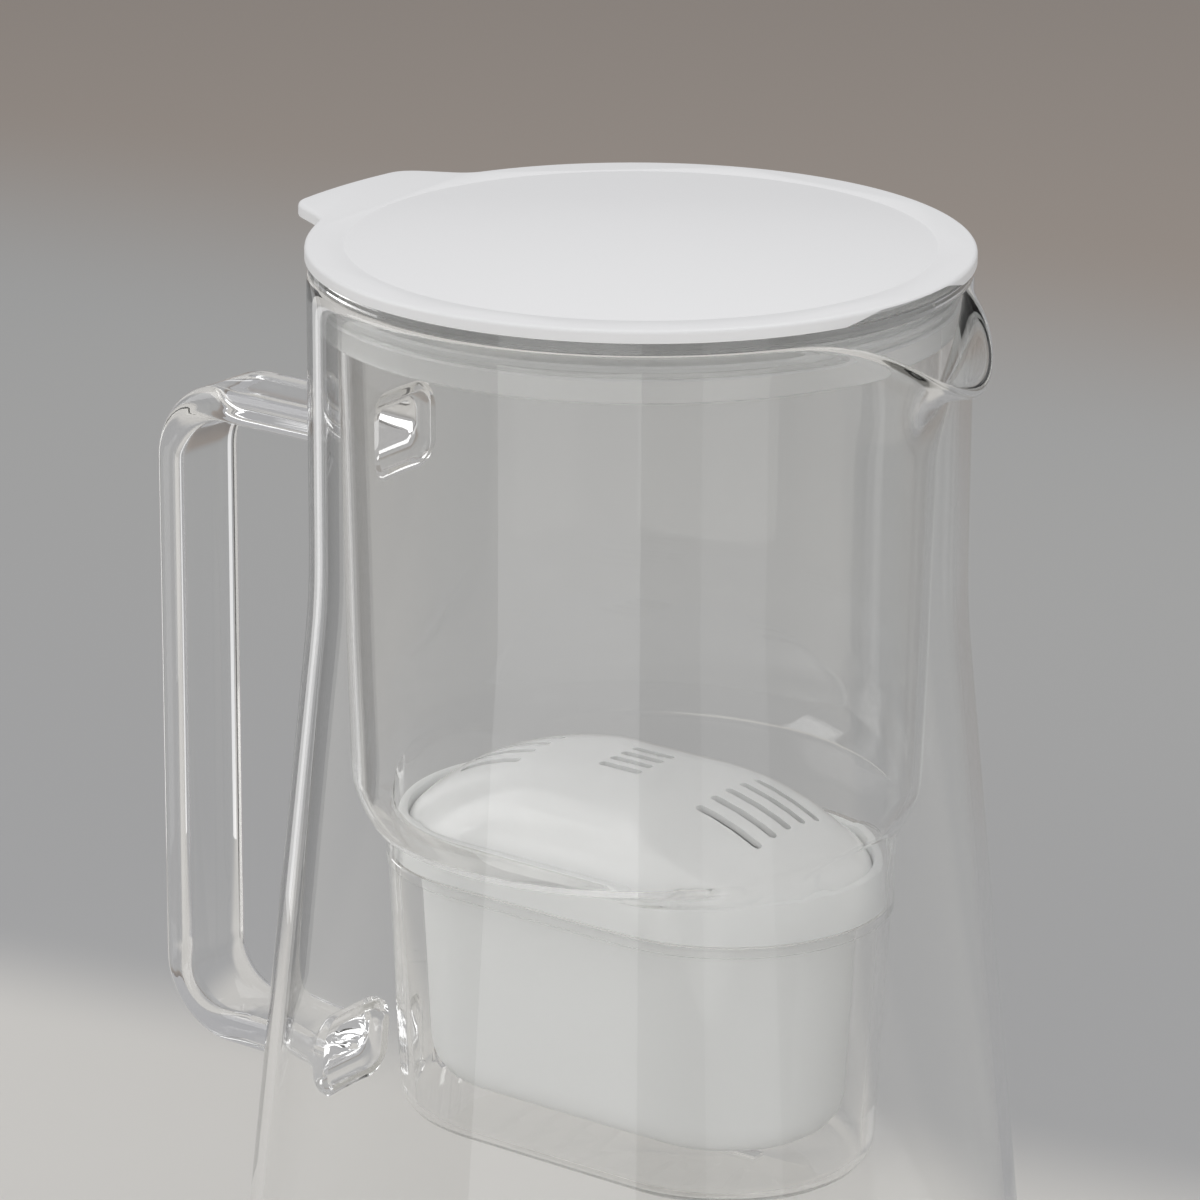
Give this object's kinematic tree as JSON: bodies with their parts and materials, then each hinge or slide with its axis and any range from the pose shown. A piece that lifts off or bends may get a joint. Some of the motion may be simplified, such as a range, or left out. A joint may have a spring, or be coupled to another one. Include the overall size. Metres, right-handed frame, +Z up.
{
  "type": "water filter pitcher",
  "caption": "Clear glass pitcher with a spout and a welded bar handle, a lift-out filling hopper, a flat round lid and an oval water filter cartridge.",
  "frame": {"origin": "centre of the round underside, on the surface the pitcher stands on", "axes": "+Z up, +X towards the spout, -X towards the handle"},
  "size_m": [0.1995, 0.167, 0.27],
  "materials": {
    "clear_glass": "smooth fire-polished clear glass",
    "clear_plastic": "clear moulded plastic, polished",
    "clear_silicone": "translucent silicone, slightly matt",
    "white_plastic": "white moulded plastic, satin",
    "cartridge_plastic": "white moulded plastic, fine matt",
    "screen_plastic": "white plastic mesh",
    "filter_granules": "loose dark granules"
  },
  "bodies": {
    "carafe": {"carafe_body": "clear_glass", "handle": "clear_glass"},
    "hopper": {"hopper": "clear_plastic", "seal_ring": "clear_silicone"},
    "lid": {"lid": "white_plastic"},
    "cartridge": {"cartridge_cup": "cartridge_plastic", "cartridge_cap": "cartridge_plastic", "inlet_screen": "screen_plastic", "filter_media": "filter_granules", "outlet_screen": "screen_plastic"}
  },
  "joints": [
    {"name": "hopper_lift", "type": "slide", "parent": "carafe", "child": "hopper", "axis": [0, 0, 1], "range_m": [0, 0.185]},
    {"name": "lid_lift", "type": "slide", "parent": "hopper", "child": "lid", "axis": [0, 0, 1], "range_m": [0, 0.05]},
    {"name": "cartridge_lift", "type": "slide", "parent": "hopper", "child": "cartridge", "axis": [0, 0, 1], "range_m": [0, 0.095]}
  ]
}
